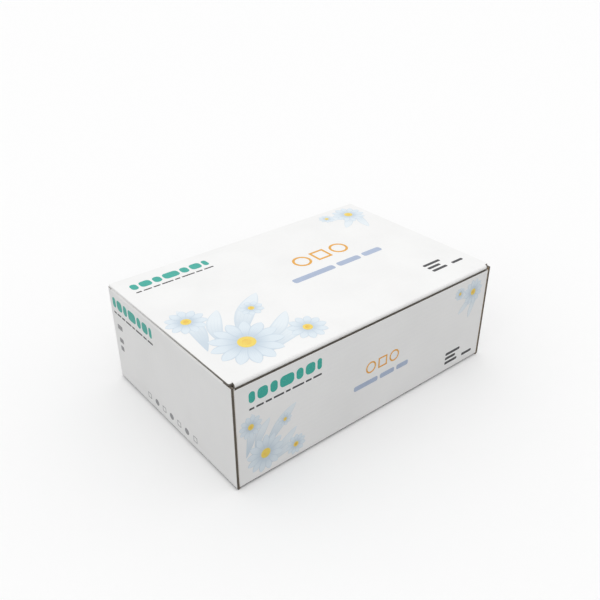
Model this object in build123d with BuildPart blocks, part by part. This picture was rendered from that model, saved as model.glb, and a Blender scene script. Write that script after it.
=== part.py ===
from build123d import *
import math
import os

os.makedirs("parts", exist_ok=True)

# Outside size of the closed carton in millimetres: X is its length, the front wall faces -Y
carton_length = 200.0
carton_width = 131.0
carton_height = 69.0

# Micro-flute board and the way it folds
board = 1.5
fold_inner_radius = 0.3
corner_fold_radius = 0.5
layer_gap = 0.15
hinge_gap = 0.1
crease_end_relief = 0.2
front_wall_drop = 3.7

# Side walls that roll over the dust flaps and lock in the base
inner_panel_front_inset = 7.0
inner_panel_back_inset = 3.0
shoulder_drop = 0.3
tab_length = 22.0
tab_spacing = 66.0
tab_lift = 0.2
slot_clearance = 0.15

# Dust flaps at both ends of the front and back walls
dust_flap_length = 56.0
dust_flap_taper = 4.0
dust_flap_corner_radius = 6.0
dust_flap_floor_gap = 1.0

# Lid and its tuck flap
tuck_depth = 22.0
tuck_lean_angle = 6.0
tuck_gap = 0.3
tuck_side_clearance = 0.25
tuck_taper = 3.0
tuck_corner_radius = 8.0
tuck_fold_inner_radius = 0.1
tuck_hook_angle = 55.0
tuck_shoulder = 1.0
lid_front_inset = 0.1
lid_side_inset = 0.1
lid_corner_setback = 1.9
lid_corner_radius = 1.2
lid_back_flat = 0.1
lid_cut_edge_height = 0.5

# Sizes that follow from the ones above
half_length = carton_length / 2
half_width = carton_width / 2
fold_radius = fold_inner_radius + board
lid_underside = carton_height - board
rim_height = lid_underside - layer_gap
front_wall_top = carton_height - front_wall_drop
back_wall_top = lid_underside - hinge_gap
side_wall_thickness = 3 * board + 2 * layer_gap
cavity_half_length = half_length - side_wall_thickness
end_wall_half_length = half_length - board - layer_gap
dust_flap_top = rim_height - board - layer_gap
inner_panel_bottom = board + layer_gap
inner_panel_front = -half_width + inner_panel_front_inset
inner_panel_back = half_width - inner_panel_back_inset
inner_panel_middle = (inner_panel_front + inner_panel_back) / 2
tuck_half_length = end_wall_half_length - board - tuck_side_clearance
tuck_fold_half_length = tuck_half_length + tuck_shoulder
tuck_fold_radius = tuck_fold_inner_radius + board
tuck_lean = math.tan(math.radians(tuck_lean_angle))
lid_half_length = half_length - lid_side_inset
lid_front = -half_width + lid_front_inset
lid_ear_front = -half_width + lid_corner_setback

# The lid's fold stands over the front wall, then hooks inwards to a neck behind it
hook_turn = math.radians(90 + tuck_hook_angle)
hook_corner_y = lid_front + tuck_fold_radius * (1 - math.tan(hook_turn / 2))
neck_y = -half_width + board + tuck_gap
neck_z = carton_height - (neck_y - hook_corner_y) / math.tan(math.radians(tuck_hook_angle))
tuck_bottom = carton_height - tuck_depth


def folded_board(path, outer_radius):
    """Board section on the left of its outer path, with a rounded fold at each corner."""
    with BuildLine() as section:
        FilletPolyline(*path, radius=outer_radius)
        offset(amount=board, side=Side.LEFT)
    make_face(section.edges())


def end_wall(wall_top):
    """Front wall with its bottom crease and both dust flaps, standing at -Y."""
    with BuildPart() as wall:
        # Bottom crease, a little shorter than the wall, its ends rounded like the folds above
        with BuildSketch(Plane.YZ):
            crease_path = [
                (-half_width, fold_radius + board),
                (-half_width, 0),
                (-half_width + fold_radius + board, 0),
            ]
            folded_board(crease_path, fold_radius)
        extrude(amount=end_wall_half_length - crease_end_relief, both=True)
        with BuildSketch(Plane.XY) as footprint:
            with Locations((0, -half_width)):
                Rectangle(
                    2 * end_wall_half_length,
                    fold_radius + board,
                    align=(Align.CENTER, Align.MIN),
                )
            fillet(footprint.vertices().group_by(Axis.Y)[0], radius=corner_fold_radius)
        extrude(amount=fold_radius + board, mode=Mode.INTERSECT)

        # Wall panel and the two vertical folds
        with BuildSketch(Plane.XY.offset(fold_radius)):
            wall_path = [
                (-end_wall_half_length, -half_width + fold_radius + board),
                (-end_wall_half_length, -half_width),
                (end_wall_half_length, -half_width),
                (end_wall_half_length, -half_width + fold_radius + board),
            ]
            folded_board(wall_path, corner_fold_radius)
        extrude(amount=wall_top - fold_radius)

        # Relief that ends the folds below the roll-over
        with BuildSketch(Plane.XZ.offset(half_width - fold_radius)):
            with Locations((0, dust_flap_top)):
                Rectangle(carton_length, carton_height, align=(Align.CENTER, Align.MIN))
        extrude(amount=-carton_width, mode=Mode.SUBTRACT)

        # Dust flaps, tapered towards their free ends
        flap_start = -half_width + fold_radius
        flap_end = -half_width + dust_flap_length
        flap_bottom = fold_radius + dust_flap_floor_gap
        with BuildSketch(Plane.YZ.offset(end_wall_half_length - board)) as flap_outline:
            with BuildLine():
                Polyline(
                    (flap_start, flap_bottom),
                    (flap_end, flap_bottom + dust_flap_taper),
                    (flap_end, dust_flap_top - dust_flap_taper),
                    (flap_start, dust_flap_top),
                    close=True,
                )
            make_face()
            free_corners = flap_outline.vertices().group_by(Axis.X)[-1]
            fillet(free_corners, radius=dust_flap_corner_radius)
        extrude(amount=board)
        mirror(about=Plane.YZ)
    return wall.part


# Tray: the folded base, walls, dust flaps and rolled-over sides
with BuildPart() as tray:
    # Base with the creases and outer panels of both sides, up to the roll-over fold
    with BuildSketch(Plane.XZ):
        cradle_path = [
            (-half_length, rim_height - fold_radius),
            (-half_length, 0),
            (half_length, 0),
            (half_length, rim_height - fold_radius),
        ]
        folded_board(cradle_path, fold_radius)
    extrude(amount=half_width, both=True)

    # The base ends at the creases of the front and back walls
    with BuildSketch(Plane.XY):
        with Locations((0, half_width), (0, -half_width)):
            Rectangle(carton_length - 2 * fold_radius, 2 * fold_radius)
    extrude(amount=board, mode=Mode.SUBTRACT)

    # Outer panels stand a little higher past both ends of the roll-over
    with BuildSketch(Plane.XY.offset(rim_height - fold_radius)):
        for side in (-1, 1):
            shoulder_x = side * (half_length - board / 2)
            with Locations((shoulder_x, (inner_panel_front - half_width) / 2)):
                Rectangle(board, inner_panel_front_inset)
            with Locations((shoulder_x, (inner_panel_back + half_width) / 2)):
                Rectangle(board, inner_panel_back_inset)
    extrude(amount=fold_radius - shoulder_drop)

    # Roll-over strip and inner panel of one side, then of the other
    with BuildSketch(Plane.XZ.offset(-inner_panel_back)):
        roll_over_path = [
            (half_length, rim_height - fold_radius - board),
            (half_length, rim_height),
            (cavity_half_length, rim_height),
            (cavity_half_length, inner_panel_bottom),
        ]
        folded_board(roll_over_path, fold_radius)
    roll_over = extrude(amount=inner_panel_back - inner_panel_front)
    mirror(roll_over, about=Plane.YZ)

    # Slots in the base, and the tabs of the inner panels in them
    tab_places = [
        (side * (cavity_half_length + board / 2), inner_panel_middle + end * tab_spacing / 2)
        for side in (-1, 1)
        for end in (-1, 1)
    ]
    with BuildSketch(Plane.XY):
        with Locations(*tab_places):
            Rectangle(board + 2 * slot_clearance, tab_length + 2 * slot_clearance)
    extrude(amount=board, mode=Mode.SUBTRACT)
    with BuildSketch(Plane.XY.offset(tab_lift)):
        with Locations(*tab_places):
            Rectangle(board, tab_length)
    extrude(amount=2 * board)

    # Front wall, and the taller back wall turned to face it
    add(end_wall(front_wall_top))
    add(mirror(end_wall(back_wall_top), about=Plane.XZ, mode=Mode.PRIVATE))

tray.part.label = "tray"
export_step(tray.part, "parts/tray.step")


# Tuck flap that goes down behind the front wall, with its fold
with BuildPart() as tuck_flap:
    # The flap leans inwards below its neck, so that it swings clear of the wall
    with BuildSketch(Plane.YZ):
        tuck_path = [
            (lid_front + tuck_fold_radius + board, carton_height),
            (hook_corner_y, carton_height),
            (neck_y, neck_z),
            (neck_y + (neck_z - tuck_bottom) * tuck_lean, tuck_bottom),
        ]
        folded_board(tuck_path, tuck_fold_radius)
    extrude(amount=tuck_fold_half_length, both=True)

    # Outline of the flap seen from the front: shoulders, tapered sides, rounded free corners
    with BuildSketch(Plane.XZ.offset(-half_width)) as tuck_outline:
        with BuildLine():
            Polyline(
                (-tuck_fold_half_length, carton_height),
                (-tuck_fold_half_length, dust_flap_top + tuck_shoulder),
                (-tuck_half_length, dust_flap_top),
                (-tuck_half_length + tuck_taper, tuck_bottom - board),
                (tuck_half_length - tuck_taper, tuck_bottom - board),
                (tuck_half_length, dust_flap_top),
                (tuck_fold_half_length, dust_flap_top + tuck_shoulder),
                (tuck_fold_half_length, carton_height),
                close=True,
            )
        make_face()
        fillet(tuck_outline.vertices().group_by(Axis.Y)[0], radius=tuck_corner_radius)
    extrude(amount=carton_width, mode=Mode.INTERSECT)


# Lid: the top panel, joined to the tuck flap along its front
with BuildPart() as lid:
    # Top panel, its front corners set back behind the fold
    with BuildSketch(Plane.XY.offset(lid_underside)) as panel_outline:
        with Locations((0, half_width)):
            Rectangle(
                2 * lid_half_length,
                half_width - lid_ear_front,
                align=(Align.CENTER, Align.MAX),
            )
        fillet(panel_outline.vertices().group_by(Axis.Y)[0], radius=lid_corner_radius)
    extrude(amount=board)

    # Rounded fold along the back
    back_edge = lid.faces().sort_by(Axis.Z)[-1].edges().sort_by(Axis.Y)[-1]
    fillet(back_edge, radius=board - lid_back_flat)

    # The cut presses the printed face down along both sides and round the front corners
    cut_edges = lid.faces().sort_by(Axis.Z)[-1].edges().sort_by(Axis.Y)[:-1]
    fillet(cut_edges, radius=board - lid_cut_edge_height)
    add(tuck_flap.part)

lid.part.label = "lid"
export_step(lid.part, "parts/lid.step")
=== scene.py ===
import math

import bmesh
import bpy
from mathutils import Matrix, Vector
from mathutils.bvhtree import BVHTree


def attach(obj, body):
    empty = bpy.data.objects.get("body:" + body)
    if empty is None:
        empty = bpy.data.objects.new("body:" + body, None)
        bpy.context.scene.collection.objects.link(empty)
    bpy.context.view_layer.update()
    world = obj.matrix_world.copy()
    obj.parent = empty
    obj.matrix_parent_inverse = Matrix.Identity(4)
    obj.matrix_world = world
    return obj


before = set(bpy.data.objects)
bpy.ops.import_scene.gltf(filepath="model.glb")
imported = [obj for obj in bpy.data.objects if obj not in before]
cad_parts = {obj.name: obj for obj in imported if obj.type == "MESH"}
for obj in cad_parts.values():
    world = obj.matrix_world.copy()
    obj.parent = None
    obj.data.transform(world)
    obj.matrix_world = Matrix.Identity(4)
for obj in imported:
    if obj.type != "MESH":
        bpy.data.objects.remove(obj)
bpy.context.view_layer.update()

MM = 0.001

# Sizes of the carton in millimetres, as in the CAD
LENGTH = 200.0
WIDTH = 131.0
HEIGHT = 69.0
BOARD = 1.5
LAYER_GAP = 0.15
FLUTE_PITCH = 3.3

# Marks painted on the board in millimetres: shade along the base crease, shade at the lid's fold end,
# and the lid's cut edge turning white. A pair says where a mark begins and where it is full
# Where the crease round the base gets painted shade, from below and from above
CREASE_SHADE_FROM_BELOW = (0.05, 0.15)
CREASE_SHADE_FROM_ABOVE = (1.6, 1.1)
# Where the right end of the lid's front fold gets painted shade
FOLD_END_SHADE_FROM_MIDDLE = (96.0, 96.6)
FOLD_END_SHADE_FROM_BEHIND = (-63.6, -64.0)
FOLD_END_SHADE_BOTTOM = 65.4
# Where the lid's cut edge turns white, towards the back and at its top
WHITE_TO_THE_BACK = (-75.0, 75.0)
WHITE_TO_THE_TOP = (68.5, 68.7)

# Ink in millimetres: how far each level stands above the last, and how deep its foot is
INK_LEVEL = 0.02
INK_FOOT = 0.01

# Telling the faces of the folded sheet apart: shares of a unit normal, then millimetres
SQUARE_ON = 0.7
TILTED = 0.05
SIDE_EDGE_TILT = 0.35
EAR_EDGE_TILT = 0.6
EAR_LENGTH = 2.4
BASE_CREASE_TOP = 3.0
ROLL_OVER_BOTTOM = HEIGHT - 5.0
THROUGH_ONE_BOARD = 1.3 * BOARD
WIDEST_RAW_EDGE = 2.0 * BOARD
INNERMOST_BOARD = LENGTH / 2 - 2 * (BOARD + LAYER_GAP) + 0.05
PROBE_DEPTH = 0.2

# Share of a normal along Y times the distance from the middle, above which a face looks outwards
JUST_OUTWARD = 0.02

# A ray starts this far in, and where it meets nothing the solid counts as this thick, in metres
RAY_START = 1e-6
ENDLESS = 1.0

# Share of its light that the floor gives back to the carton, and share that the camera sees
FLOOR_BOUNCE = 0.3
FLOOR_SEEN = 0.95

# Reach of the floor from the middle in metres, and its gap under the carton in millimetres
FLOOR_REACH = 4.0
FLOOR_GAP = 0.05

# Suns: name, strength, spread in degrees, and the direction that the light comes from
SUNS = (
    ("overhead", 0.07, 110, (0, 0, 1)),
    ("left_side", 0.12, 50, (-0.87, 0, 0.5)),
)

# Camera as fitted to the corners of the carton in the photograph: millimetres, degrees, metres
CAMERA_LENS = 41.291
CAMERA_SENSOR = 36.0
CAMERA_AZIMUTH = -39.332
CAMERA_ELEVATION = 30.337
CAMERA_ROLL = -0.098
CAMERA_PLACE = (-0.240947, -0.289934, 0.270576)

# Colours as they are seen in white light, except the crease grey, which is painted shade
PAPER_WHITE = (0.905, 0.905, 0.9)
KRAFT = (0.5, 0.37, 0.235)
RAW_LINER = (0.32, 0.285, 0.245)
# Dark of the cut board, also used as painted shade in its flute hollows and at the lid's fold end
RAW_CORE = (0.13, 0.115, 0.097)
# Painted shade, not a colour of the board: the contact shadow in the crease round the base
PAINTED_CREASE_SHADE = (0.04, 0.04, 0.041)
TEAL = (0.035, 0.42, 0.345)
ORANGE = (0.82, 0.4, 0.045)
PALE_BLUE = (0.42, 0.5, 0.66)
INK_DARK = (0.045, 0.045, 0.05)
INK_GREY = (0.3, 0.3, 0.31)
PETAL_DEEP = (0.5, 0.6, 0.7)
PETAL_LIGHT = (0.74, 0.82, 0.88)
LEAF_DEEP = (0.6, 0.69, 0.77)
LEAF_LIGHT = (0.8, 0.86, 0.9)
HEART_YELLOW = (0.9, 0.68, 0.13)
HEART_ORANGE = (0.8, 0.42, 0.06)


def shade(colour, share):
    """The colour with each of its channels times share."""
    return tuple(channel * share for channel in colour)


class Shader:
    """A node material with one Principled shader, and short ways to add nodes."""

    def __init__(self, name, roughness, specular):
        self.material = bpy.data.materials.new(name)
        self.material.use_nodes = True
        self.nodes = self.material.node_tree.nodes
        self.links = self.material.node_tree.links
        self.surface = self.nodes["Principled BSDF"]
        self.surface.inputs["Roughness"].default_value = roughness
        self.surface.inputs["Specular IOR Level"].default_value = specular

    def put(self, value, socket):
        """Links a socket, or sets a colour, vector or number."""
        if isinstance(value, bpy.types.NodeSocket):
            self.links.new(value, socket)
        elif isinstance(value, tuple):
            length = len(socket.default_value)
            socket.default_value = (*value, 1.0)[:length]
        else:
            socket.default_value = value

    def math(self, operation, first, second=0.0):
        node = self.nodes.new("ShaderNodeMath")
        node.operation = operation
        self.put(first, node.inputs[0])
        self.put(second, node.inputs[1])
        return node.outputs[0]

    def axes(self, output="Object"):
        """The X, Y and Z of the object's own coordinates, or of its own normal."""
        coordinates = self.nodes.new("ShaderNodeTexCoord")
        split = self.nodes.new("ShaderNodeSeparateXYZ")
        self.links.new(coordinates.outputs[output], split.inputs[0])
        return split.outputs

    def noise(self, scale, detail=2.0, stretch=(1.0, 1.0, 1.0)):
        coordinates = self.nodes.new("ShaderNodeTexCoord")
        mapping = self.nodes.new("ShaderNodeMapping")
        mapping.inputs["Scale"].default_value = stretch
        self.links.new(coordinates.outputs["Object"], mapping.inputs["Vector"])
        texture = self.nodes.new("ShaderNodeTexNoise")
        texture.inputs["Scale"].default_value = scale
        texture.inputs["Detail"].default_value = detail
        self.links.new(mapping.outputs[0], texture.inputs["Vector"])
        return texture.outputs["Fac"]

    def ramp(self, factor, low, high, start, end):
        """Colour that goes from low at start to high at end."""
        node = self.nodes.new("ShaderNodeValToRGB")
        node.color_ramp.elements[0].position = start
        node.color_ramp.elements[1].position = end
        node.color_ramp.elements[0].color = (*low, 1.0)
        node.color_ramp.elements[1].color = (*high, 1.0)
        self.links.new(factor, node.inputs[0])
        return node.outputs[0]

    def mix(self, factor, first, second):
        node = self.nodes.new("ShaderNodeMix")
        node.data_type = "RGBA"
        self.put(factor, node.inputs["Factor"])
        self.put(first, node.inputs["A"])
        self.put(second, node.inputs["B"])
        return node.outputs["Result"]

    def span(self, value, low, high, to_low=0.0, to_high=1.0):
        """Smooth step from to_low, where value is low, to to_high, where it is high."""
        node = self.nodes.new("ShaderNodeMapRange")
        node.interpolation_type = "SMOOTHSTEP"
        self.put(value, node.inputs["Value"])
        self.put(low, node.inputs["From Min"])
        self.put(high, node.inputs["From Max"])
        self.put(to_low, node.inputs["To Min"])
        self.put(to_high, node.inputs["To Max"])
        return node.outputs[0]

    def mark(self, place, ends):
        """Smooth step from 0 to 1 between two places in millimetres."""
        begin, full = ends
        return self.span(place, begin * MM, full * MM)

    def bump(self, height, distance, strength=1.0, below=None):
        node = self.nodes.new("ShaderNodeBump")
        node.inputs["Distance"].default_value = distance
        node.inputs["Strength"].default_value = strength
        self.put(height, node.inputs["Height"])
        if below is not None:
            self.links.new(below, node.inputs["Normal"])
        return node.outputs[0]

    def finish(self, colour, roughness=None, normal=None):
        for value, name in (
            (colour, "Base Color"),
            (roughness, "Roughness"),
            (normal, "Normal"),
        ):
            if value is not None:
                self.put(value, self.surface.inputs[name])
        return self.material


def flute_wave(shader, place):
    """Sine wave with one turn for each flute."""
    turns = shader.math("MULTIPLY", place, 2 * math.pi / (FLUTE_PITCH * MM))
    return shader.math("SINE", turns)


def washboard(shader):
    """Height of the faint ridges that the flutes press through the liner."""
    place = shader.axes()
    facing = shader.axes("Normal")
    faces_front = shader.math("GREATER_THAN", shader.math("ABSOLUTE", facing[1]), SQUARE_ON)
    across = shader.math("MULTIPLY", shader.math("SUBTRACT", place[2], place[1]), faces_front)
    across = shader.math("ADD", across, place[1])
    return flute_wave(shader, across)


def coated_liner():
    """White printed side of the board, with painted shade along the crease round the base and at the
    right end of the lid's front fold.
    """
    shader = Shader("coated_liner", roughness=0.5, specular=0.3)
    mottle = shader.noise(scale=28.0, detail=3.0)
    fibres = shader.noise(scale=1900.0, detail=3.0, stretch=(0.35, 1.0, 1.0))
    darker = shade(PAPER_WHITE, 0.965)
    colour = shader.ramp(mottle, darker, PAPER_WHITE, start=0.3, end=0.62)
    colour = shader.mix(shader.span(fibres, 0.66, 0.8, to_high=0.12), colour, darker)
    # Painted shade: the crease round the base is darkened grey where the contact shadow falls
    across, along, height = shader.axes()[:3]
    crease_shade = shader.mark(height, CREASE_SHADE_FROM_BELOW)
    crease_shade = shader.math("MULTIPLY", crease_shade, shader.mark(height, CREASE_SHADE_FROM_ABOVE))
    colour = shader.mix(crease_shade, colour, PAINTED_CREASE_SHADE)
    # Painted shade: the right end of the lid's front fold is coloured dark like the raw board, where
    # that corner lies in deep shade
    torn = shader.mark(across, FOLD_END_SHADE_FROM_MIDDLE)
    torn = shader.math("MULTIPLY", torn, shader.mark(along, FOLD_END_SHADE_FROM_BEHIND))
    torn = shader.math("MULTIPLY", torn, shader.math("GREATER_THAN", height, FOLD_END_SHADE_BOTTOM * MM))
    colour = shader.mix(torn, colour, RAW_CORE)
    roughness = shader.span(fibres, 0.3, 0.7, to_low=0.46, to_high=0.58)
    ridges = shader.bump(washboard(shader), distance=0.012 * MM)
    grain = shader.bump(fibres, distance=0.02 * MM, strength=0.5, below=ridges)
    return shader.finish(colour, roughness, grain)


def kraft_liner():
    """Brown inner side of the board."""
    shader = Shader("kraft_liner", roughness=0.85, specular=0.2)
    cloud = shader.noise(scale=60.0, detail=4.0)
    fibres = shader.noise(scale=1300.0, detail=4.0, stretch=(0.22, 1.0, 1.0))
    flecks = shader.noise(scale=900.0, stretch=(0.5, 1.3, 1.0))
    dark = shade(KRAFT, 0.86)
    colour = shader.ramp(cloud, dark, shade(KRAFT, 1.06), start=0.3, end=0.7)
    colour = shader.mix(shader.span(fibres, 0.5, 0.75, to_high=0.45), colour, dark)
    colour = shader.mix(shader.span(flecks, 0.7, 0.76, to_high=0.6), colour, RAW_CORE)
    roughness = shader.span(fibres, 0.3, 0.7, to_low=0.78, to_high=0.92)
    ridges = shader.bump(washboard(shader), distance=0.03 * MM)
    grain = shader.bump(fibres, distance=0.05 * MM, strength=0.6, below=ridges)
    return shader.finish(colour, roughness, grain)


def raw_edge(axis):
    """Cut edge of the board. axis is the one that the board's thickness runs along."""
    shader = Shader(f"raw_edge_{'xyz'[axis]}", roughness=0.95, specular=0.1)
    place = shader.axes()
    facing = shader.axes("Normal")
    # Depth through one board, as a share of its thickness
    outside = (LENGTH / 2, WIDTH / 2, HEIGHT)[axis] * MM
    depth = shader.math("SUBTRACT", outside, shader.math("ABSOLUTE", place[axis]))
    depth = shader.math("FLOORED_MODULO", depth, (BOARD + LAYER_GAP) * MM)
    depth = shader.math("DIVIDE", depth, BOARD * MM)
    from_middle = shader.math("SUBTRACT", depth, 0.5)
    liner = shader.span(shader.math("ABSOLUTE", from_middle), 0.34, 0.4)
    # The flutes run along X in the flat sheet, so their waves show on the edges that cut them
    wave = shader.math("MULTIPLY", flute_wave(shader, place[1]), 0.33)
    off_wave = shader.math("SUBTRACT", from_middle, wave)
    medium = shader.span(shader.math("ABSOLUTE", off_wave), 0.16, 0.06)
    cuts_flutes = shader.math("LESS_THAN", shader.math("ABSOLUTE", facing[1]), 0.5)
    medium = shader.math("MULTIPLY", medium, cuts_flutes)
    torn = shader.noise(scale=1500.0, detail=4.0)
    # Where the edge is neither liner nor fluting it gets RAW_CORE: painted shade in the hollows of
    # the flutes
    solid = shader.math("MAXIMUM", liner, medium)
    solid = shader.math("MULTIPLY", solid, shader.span(torn, 0.2, 0.55, to_low=0.5))
    grain = shader.bump(shader.math("ADD", solid, torn), distance=0.12 * MM)
    return shader.finish(shader.mix(solid, RAW_CORE, RAW_LINER), None, grain)


def lid_cut_edge():
    """Cut edge of the lid: raw board at the front, turning white towards the back and at its top."""
    shader = Shader("lid_cut_edge", roughness=0.8, specular=0.15)
    along, height = shader.axes()[1:3]
    torn = shader.noise(scale=700.0, detail=3.0)
    unevenness = shader.span(torn, 0.3, 0.7, to_low=-0.08, to_high=0.08)
    white_share = shader.math("ADD", shader.mark(along, WHITE_TO_THE_BACK), unevenness)
    white_share = shader.math("MAXIMUM", white_share, shader.mark(height, WHITE_TO_THE_TOP))
    white_share = shader.math("MAXIMUM", shader.math("MINIMUM", white_share, 1.0), 0.0)
    grain = shader.bump(torn, distance=0.05 * MM)
    return shader.finish(shader.mix(white_share, RAW_CORE, PAPER_WHITE), None, grain)


def finish_ink(shader, colour, specks):
    """Finishes a printed colour, with specks saying how much of the board shows through its grain."""
    speckle = shader.noise(scale=2600.0)
    bare = shader.span(speckle, 0.62, 0.74, to_high=specks)
    roughness = shader.span(speckle, 0.3, 0.7, to_low=0.36, to_high=0.5)
    return shader.finish(shader.mix(bare, colour, PAPER_WHITE), roughness)


def ink(name, deep, light):
    """Printed colour that clouds a little between deep and light."""
    shader = Shader(name, roughness=0.42, specular=0.35)
    cloud = shader.noise(scale=120.0)
    colour = shader.ramp(cloud, deep, light, start=0.3, end=0.7)
    return finish_ink(shader, colour, specks=0.25)


def flat_ink(name, colour):
    return ink(name, shade(colour, 0.93), colour)


def leaf_ink(name, deep, light, veins):
    """Petal or leaf: deep at its base, its rim and along its veins, and light between them."""
    shader = Shader(name, roughness=0.42, specular=0.35)
    growth = shader.nodes.new("ShaderNodeUVMap")
    growth.uv_map = "growth"
    split = shader.nodes.new("ShaderNodeSeparateXYZ")
    shader.links.new(growth.outputs[0], split.inputs[0])
    along = split.outputs[0]
    across = shader.math("ABSOLUTE", shader.math("SUBTRACT", split.outputs[1], 0.5))
    wobble = shader.math("MULTIPLY", shader.noise(scale=160.0), 0.15)
    colour = shader.mix(shader.span(shader.math("ADD", along, wobble), 0.12, 0.8), deep, light)
    rim = shader.span(across, 0.36, 0.5, to_high=0.55)
    colour = shader.mix(rim, colour, deep)
    stripes = shader.math("COSINE", shader.math("MULTIPLY", across, 2 * math.pi * veins))
    stripes = shader.span(stripes, 0.7, 1.0, to_high=0.3)
    stripes = shader.math("MULTIPLY", stripes, shader.span(along, 0.95, 0.4))
    colour = shader.mix(stripes, colour, deep)
    return finish_ink(shader, colour, specks=0.2)


# Board materials, chosen for each face of the folded sheet
BOARD_MATERIALS = [
    coated_liner(),
    kraft_liner(),
    raw_edge(0),
    raw_edge(1),
    raw_edge(2),
    lid_cut_edge(),
]
COATED, UNCOATED, FIRST_RAW, LID_EDGE = 0, 1, 2, 5


def thickness_at(tree, point, direction):
    """How far the solid goes on from a point in it or on it."""
    hit = tree.ray_cast(point + direction * RAY_START, direction)
    return hit[3] if hit[0] is not None else ENDLESS


def narrowest_width(tree, face):
    """Smallest width of the solid just behind a face, beside its normal, and the axis it is along."""
    inside = face.center - face.normal * PROBE_DEPTH * MM
    widths = []
    for number in range(3):
        if abs(face.normal[number]) > SQUARE_ON:
            continue
        axis = Vector((0, 0, 0))
        axis[number] = 1
        width = thickness_at(tree, inside, axis) + thickness_at(tree, inside, -axis)
        widths.append((width, number))
    return min(widths)


def side_of_sheet(centre, normal, body):
    """Whether a face of the folded sheet is its printed side or its inner side."""
    from_middle = abs(centre.x) / MM
    height = centre.z / MM
    if body == "lid":
        if height < HEIGHT - BOARD - LAYER_GAP:
            return COATED if normal.y < 0 else UNCOATED
        outward = normal.y * centre.y > JUST_OUTWARD * MM
        return COATED if normal.z > TILTED or outward else UNCOATED
    if abs(normal.z) > TILTED:
        if height < BASE_CREASE_TOP:
            return COATED if normal.z < 0 else UNCOATED
        if height > ROLL_OVER_BOTTOM:
            return COATED if normal.z > 0 else UNCOATED
    outward = normal.x * centre.x + normal.y * centre.y > 0
    if abs(normal.x) > SQUARE_ON:
        outward = normal.x * centre.x > 0
        # The innermost of the side's three boards is rolled over, its printed side inwards
        if from_middle < INNERMOST_BOARD:
            outward = not outward
    elif abs(normal.y) > SQUARE_ON:
        outward = normal.y * centre.y > 0
    return COATED if outward else UNCOATED


def is_lid_edge(face):
    """Whether a face of the lid is its cut edge, at a side or on the ear beside the front fold."""
    from_middle = abs(face.center.x) / MM
    on_side = abs(face.normal.x) > SIDE_EDGE_TILT and from_middle > LENGTH / 2 - BOARD
    on_ear = face.normal.y < -EAR_EDGE_TILT and from_middle > LENGTH / 2 - EAR_LENGTH
    return face.center.z / MM > HEIGHT - BOARD and (on_side or on_ear)


def board_material(tree, face, body):
    """Number of the liner or cut edge that a face shows."""
    if body == "lid" and is_lid_edge(face):
        return LID_EDGE
    width, axis = narrowest_width(tree, face)
    on_sheet = thickness_at(tree, face.center, -face.normal) < THROUGH_ONE_BOARD * MM
    rounded_back = body == "lid" and face.normal.z > TILTED
    if on_sheet or rounded_back or width > WIDEST_RAW_EDGE * MM:
        return side_of_sheet(face.center, face.normal, body)
    return FIRST_RAW + axis


def dress_board(name):
    """Gives a CAD node the board's materials, face by face."""
    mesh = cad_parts[name].data
    mesh.materials.clear()
    for material in BOARD_MATERIALS:
        mesh.materials.append(material)
    tree = BVHTree.FromPolygons([v.co for v in mesh.vertices], [p.vertices for p in mesh.polygons])
    for face in mesh.polygons:
        face.material_index = board_material(tree, face, name)


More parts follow.
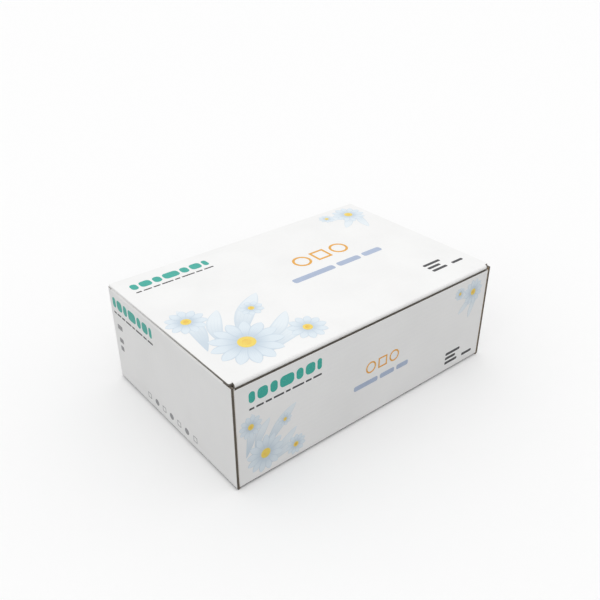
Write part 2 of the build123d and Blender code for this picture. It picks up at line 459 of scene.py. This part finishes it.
class Print:
    """Ink on one panel: flat shapes in millimetres, laid a hair above the board."""

    def __init__(self, name, body, origin, right, up):
        self.name = name
        self.body = body
        self.right = Vector(right)
        self.up = Vector(up)
        self.out = self.right.cross(self.up)
        self.origin = Vector(origin)
        self.mesh = bmesh.new()
        self.growth = self.mesh.loops.layers.uv.new("growth")
        self.materials = []

    def plate(self, points, faces, material, level, growth=None):
        """Closed thin plate over a flat mesh of points, higher with each level."""
        if material not in self.materials:
            self.materials.append(material)
        number = self.materials.index(material)
        rings = []
        for height in (INK_LEVEL * (level + 1) * MM, -INK_FOOT * MM):
            ring = []
            for x, y in points:
                place = self.origin + (self.right * x + self.up * y) * MM + self.out * height
                ring.append(self.mesh.verts.new(place))
            rings.append(ring)
        above, below = rings
        made = []
        # An edge that two faces share, once each way, isn't on the plate's border
        border = {}
        for face in faces:
            made.append((self.mesh.faces.new([above[i] for i in face]), face))
            made.append((self.mesh.faces.new([below[i] for i in reversed(face)]), face[::-1]))
            for start, end in zip(face, face[1:] + face[:1]):
                if (end, start) in border:
                    del border[(end, start)]
                else:
                    border[(start, end)] = True
        for start, end in border:
            wall = self.mesh.faces.new([above[end], above[start], below[start], below[end]])
            made.append((wall, [end, start, start, end]))
        for face, corners in made:
            face.material_index = number
            for loop, corner in zip(face.loops, corners):
                loop[self.growth].uv = growth[corner] if growth else (0.5, 0.5)

    def outline(self, points, material, level=1):
        self.plate(points, [list(range(len(points)))], material, level)

    def bar(self, x, y, width, height, material, radius):
        """Bar with round corners, from its left and lower edges."""
        steps = 6
        radius = min(radius, width / 2, height / 2)
        points = []
        corners = (
            (x + width - radius, y + radius, -90),
            (x + width - radius, y + height - radius, 0),
            (x + radius, y + height - radius, 90),
            (x + radius, y + radius, 180),
        )
        for corner_x, corner_y, start in corners:
            for step in range(steps + 1):
                angle = math.radians(start + 90 / steps * step)
                points.append((
                    corner_x + radius * math.cos(angle),
                    corner_y + radius * math.sin(angle),
                ))
        self.outline(points, material)

    def ring(self, x, y, radius, stroke, material, sides=48, turn=0.0):
        """Ring, or with few sides a frame. radius goes to the outer corners."""
        points = []
        for index in range(sides):
            angle = 2 * math.pi * index / sides + turn
            for reach in (radius, radius - stroke):
                points.append((x + reach * math.cos(angle), y + reach * math.sin(angle)))
        faces = []
        for index in range(sides):
            start = 2 * index
            end = 2 * ((index + 1) % sides)
            faces.append([start, end, end + 1, start + 1])
        self.plate(points, faces, material, level=1)

    def disc(self, x, y, radius, material, level=1):
        sides = 40
        points = []
        for index in range(sides):
            angle = 2 * math.pi * index / sides
            points.append((x + radius * math.cos(angle), y + radius * math.sin(angle)))
        self.outline(points, material, level)

    def blade(self, x, y, length, width, angle, material, level, blunt, bend=0.0):
        """Petal or leaf that grows from a point. blunt moves its widest place to the tip."""
        rows, columns = 20, 8
        points = []
        growth = []
        heading = math.radians(angle)
        for row in range(rows + 1):
            along = row / rows
            half = 0.5 * width * math.sin(math.pi * along ** (1 + blunt)) ** 0.7
            half = max(half, 0.02 * width)
            for column in range(columns + 1):
                across = column / columns
                forward = along * length
                aside = (across - 0.5) * 2 * half + bend * math.sin(math.pi * along) * length
                points.append((
                    x + forward * math.cos(heading) - aside * math.sin(heading),
                    y + forward * math.sin(heading) + aside * math.cos(heading),
                ))
                growth.append((along, across))
        faces = []
        for row in range(rows):
            for column in range(columns):
                start = row * (columns + 1) + column
                above = start + columns + 1
                faces.append([start + 1, above + 1, above, start])
        self.plate(points, faces, material, level, growth)

    def daisy(self, x, y, radius, petals, turn):
        """Petals round a heart. No two neighbours lie at the same level."""
        width = radius * 4.6 / petals
        for index in range(petals):
            angle = turn + 360 * index / petals
            level = 3 + index % 2
            if petals % 2 and index == petals - 1:
                level += 2
            self.blade(x, y, radius, width, angle, INKS["petal"], level, blunt=0.75)
        self.disc(x, y, radius * 0.25, INKS["heart"], level=6)
        self.disc(x, y, radius * 0.13, INKS["heart_middle"], level=7)

    def words(self, x, y, widths, height, gap, material):
        """Row of bars in place of a line of words."""
        for width in widths:
            self.bar(x, y, width, height, material, radius=height * 0.35)
            x += width + gap

    def finish(self):
        mesh = bpy.data.meshes.new(self.name)
        self.mesh.to_mesh(mesh)
        self.mesh.free()
        for material in self.materials:
            mesh.materials.append(material)
        piece = bpy.data.objects.new(self.name, mesh)
        bpy.context.scene.collection.objects.link(piece)
        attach(piece, self.body)


INKS = {
    "teal": flat_ink("ink_teal", TEAL),
    "orange": flat_ink("ink_orange", ORANGE),
    "blue": flat_ink("ink_blue", PALE_BLUE),
    "dark": flat_ink("ink_dark", INK_DARK),
    "grey": flat_ink("ink_grey", INK_GREY),
    "petal": leaf_ink("ink_petal", PETAL_DEEP, PETAL_LIGHT, veins=6),
    "leaf": leaf_ink("ink_leaf", LEAF_DEEP, LEAF_LIGHT, veins=5),
    "heart": ink("ink_heart", HEART_YELLOW, HEART_YELLOW),
    "heart_middle": ink("ink_heart_middle", HEART_ORANGE, HEART_YELLOW),
}


def heading(panel, x, y, length, height):
    """Teal row of blocks with a thin dark row under it, both as long as length."""
    blocks = (0.1, 0.17, 0.12, 0.24, 0.12, 0.17, 0.08)
    gap = height * 0.22
    room = length - gap * (len(blocks) - 1)
    panel.words(x, y, [share * room for share in blocks], height, gap, INKS["teal"])
    dashes = (0.08, 0.12, 0.1, 0.17, 0.08, 0.2, 0.1, 0.15)
    thin = 1.2
    room = length - thin * (len(dashes) - 1)
    lower = y - height * 0.62
    panel.words(x, lower, [share * room for share in dashes], thin, thin, INKS["dark"])


def title(panel, x, y, size):
    """Orange frame between two orange rings, which starts at x and is centred on y."""
    stroke = size * 0.13
    for across in (0.5, 2.9):
        panel.ring(x + size * across, y, size / 2, stroke, INKS["orange"])
    corner = math.sqrt(2)
    radius = size * 0.45 * corner
    panel.ring(x + size * 1.7, y, radius, stroke * corner, INKS["orange"], 4, math.pi / 4)


def small_print(panel, x, y, widths, height, pitch, last_x):
    """Dark bars one above the other, the lowest at x and y, and one more at last_x beside it."""
    for index, width in enumerate(widths):
        row = y + pitch * (len(widths) - 1 - index)
        panel.words(x, row, (width,), height, 0, INKS["dark"])
    panel.words(last_x, y, (10,), height, 0, INKS["dark"])


def spray(panel, x, y, size, daisies, leaves):
    """Leaves that fan out from a point, with daisies over them. size scales all of it."""
    for index, (angle, start, length, width, bend) in enumerate(leaves):
        base_x = x + start * size * math.cos(math.radians(angle))
        base_y = y + start * size * math.sin(math.radians(angle))
        level = 1 + index % 2
        panel.blade(
            base_x, base_y, length * size, width * size, angle, INKS["leaf"], level, 0.2, bend
        )
    for across, over, radius, petals, turn in daisies:
        panel.daisy(x + across * size, y + over * size, radius * size, petals, turn)


# Floral groups, in shares of their size. A daisy is its place, radius, petals and turn
WIDE_DAISIES = (
    (0.33, 0.27, 0.27, 13, 4),
    (0.78, 0.15, 0.15, 11, 20),
    (0.14, 0.76, 0.16, 11, 9),
    (0.62, 0.62, 0.1, 9, 0),
)
SMALL_DAISIES = (
    (-0.36, -0.3, 0.3, 12, 10),
    (-0.8, -0.2, 0.15, 9, 0),
)

# A leaf is its angle, its distance from the middle of the fan, length, width and bend
WIDE_LEAVES = (
    (12, 0.3, 0.62, 0.13, 0.06),
    (80, 0.35, 0.6, 0.13, -0.06),
    (45, 0.45, 0.66, 0.15, 0.05),
    (28, 0.4, 0.5, 0.12, -0.08),
    (62, 0.4, 0.46, 0.12, 0.08),
)
SMALL_LEAVES = (
    (200, 0.3, 0.62, 0.15, 0.07),
    (245, 0.35, 0.66, 0.15, -0.07),
    (222, 0.45, 0.6, 0.15, 0.04),
)


def print_lid():
    panel = Print("print_lid", "lid", (0, 0, HEIGHT * MM), (1, 0, 0), (0, 1, 0))
    heading(panel, -92, 48, 54, 7)
    title(panel, 3, 13.5, 13)
    panel.words(-12, -7, (33, 19, 16), 5, 3, INKS["blue"])
    small_print(panel, 64, -50, (15, 11, 13), height=2.2, pitch=4, last_x=82)
    spray(panel, -97, -60, 76, WIDE_DAISIES, WIDE_LEAVES)
    spray(panel, 98, 62, 40, SMALL_DAISIES, SMALL_LEAVES)
    panel.finish()


def print_front():
    panel = Print("print_front", "tray", (0, -WIDTH / 2 * MM, 0), (1, 0, 0), (0, 0, 1))
    heading(panel, -90, 53, 48, 7)
    title(panel, -8, 36, 8)
    panel.words(-17, 24, (19, 12, 10), 3.4, 2, INKS["blue"])
    small_print(panel, 65, 6, (14, 10, 12), height=2, pitch=3.5, last_x=82)
    spray(panel, -96, 3, 46, WIDE_DAISIES, WIDE_LEAVES)
    spray(panel, 96, 63, 30, SMALL_DAISIES, SMALL_LEAVES)
    panel.finish()


def print_side():
    """Left side wall: a heading, a row of discs and frames low down, and a column of bars."""
    panel = Print("print_side", "tray", (-LENGTH / 2 * MM, 0, 0), (0, -1, 0), (0, 0, 1))
    heading(panel, -62, 55, 48, 7)
    for index, place in enumerate((-27, -18, -9.5, -1, 7.5, 16, 25)):
        if index % 2:
            panel.disc(place, 7.5, 2.2, INKS["grey"])
        else:
            panel.ring(place, 7.5, 2.7, 0.6, INKS["grey"], 4, math.pi / 4)
    for index, height in enumerate((40, 30, 24)):
        panel.bar(-60, height, 6 - index, 3.4, INKS["grey"], radius=0.6)
    panel.finish()


def seen_directly(tree):
    """Socket that is 1 for rays of the camera, also in a mirror or through glass, and 0 otherwise."""
    path = tree.nodes.new("ShaderNodeLightPath")
    result = path.outputs["Is Camera Ray"]
    for kind in ("Is Glossy Ray", "Is Transmission Ray"):
        either = tree.nodes.new("ShaderNodeMath")
        either.operation = "MAXIMUM"
        tree.links.new(result, either.inputs[0])
        tree.links.new(path.outputs[kind], either.inputs[1])
        result = either.outputs[0]
    return result


def add_floor():
    """Pale floor that looks white and gives back less light to the carton than it shows."""
    mesh = bpy.data.meshes.new("floor")
    signs = ((-1, -1), (1, -1), (1, 1), (-1, 1))
    corners = [(x * FLOOR_REACH, y * FLOOR_REACH, 0) for x, y in signs]
    mesh.from_pydata(corners, [], [(0, 1, 2, 3)])
    floor = bpy.data.objects.new("floor", mesh)
    floor.location.z = -FLOOR_GAP * MM
    bpy.context.scene.collection.objects.link(floor)
    shader = Shader("floor_white", roughness=0.9, specular=0.1)
    colour = shader.nodes.new("ShaderNodeMapRange")
    shader.links.new(seen_directly(shader.material.node_tree), colour.inputs["Value"])
    colour.inputs["To Min"].default_value = FLOOR_BOUNCE
    colour.inputs["To Max"].default_value = FLOOR_SEEN
    mesh.materials.append(shader.finish(colour.outputs[0]))


def add_light():
    """White sky all round, and wide soft suns."""
    world = bpy.data.worlds.new("studio")
    bpy.context.scene.world = world
    world.use_nodes = True
    sky = world.node_tree.nodes["Background"]
    sky.inputs["Color"].default_value = (1.0, 1.0, 1.0, 1.0)
    sky.inputs["Strength"].default_value = 1.0
    for name, strength, spread, direction in SUNS:
        sun_data = bpy.data.lights.new(name, "SUN")
        sun_data.energy = strength
        sun_data.angle = math.radians(spread)
        sun = bpy.data.objects.new(name, sun_data)
        sun.rotation_euler = Vector(direction).to_track_quat("Z", "Y").to_euler()
        bpy.context.scene.collection.objects.link(sun)


def add_camera():
    camera_data = bpy.data.cameras.new("camera")
    camera_data.lens = CAMERA_LENS
    camera_data.sensor_width = CAMERA_SENSOR
    camera_data.clip_start = 0.01
    camera = bpy.data.objects.new("camera", camera_data)
    azimuth = math.radians(CAMERA_AZIMUTH)
    elevation = math.radians(CAMERA_ELEVATION)
    roll = math.radians(CAMERA_ROLL)
    back = Vector((
        math.sin(azimuth) * math.cos(elevation),
        -math.cos(azimuth) * math.cos(elevation),
        math.sin(elevation),
    ))
    level_right = (-back).cross(Vector((0, 0, 1))).normalized()
    level_up = level_right.cross(-back)
    right = level_right * math.cos(roll) + level_up * math.sin(roll)
    up = level_up * math.cos(roll) - level_right * math.sin(roll)
    turn = Matrix((right, up, back)).transposed().to_4x4()
    camera.matrix_world = Matrix.Translation(CAMERA_PLACE) @ turn
    bpy.context.scene.collection.objects.link(camera)
    bpy.context.scene.camera = camera


dress_board("tray")
dress_board("lid")
print_lid()
print_front()
print_side()
add_floor()
add_light()
add_camera()
bpy.context.scene.view_settings.view_transform = "Standard"
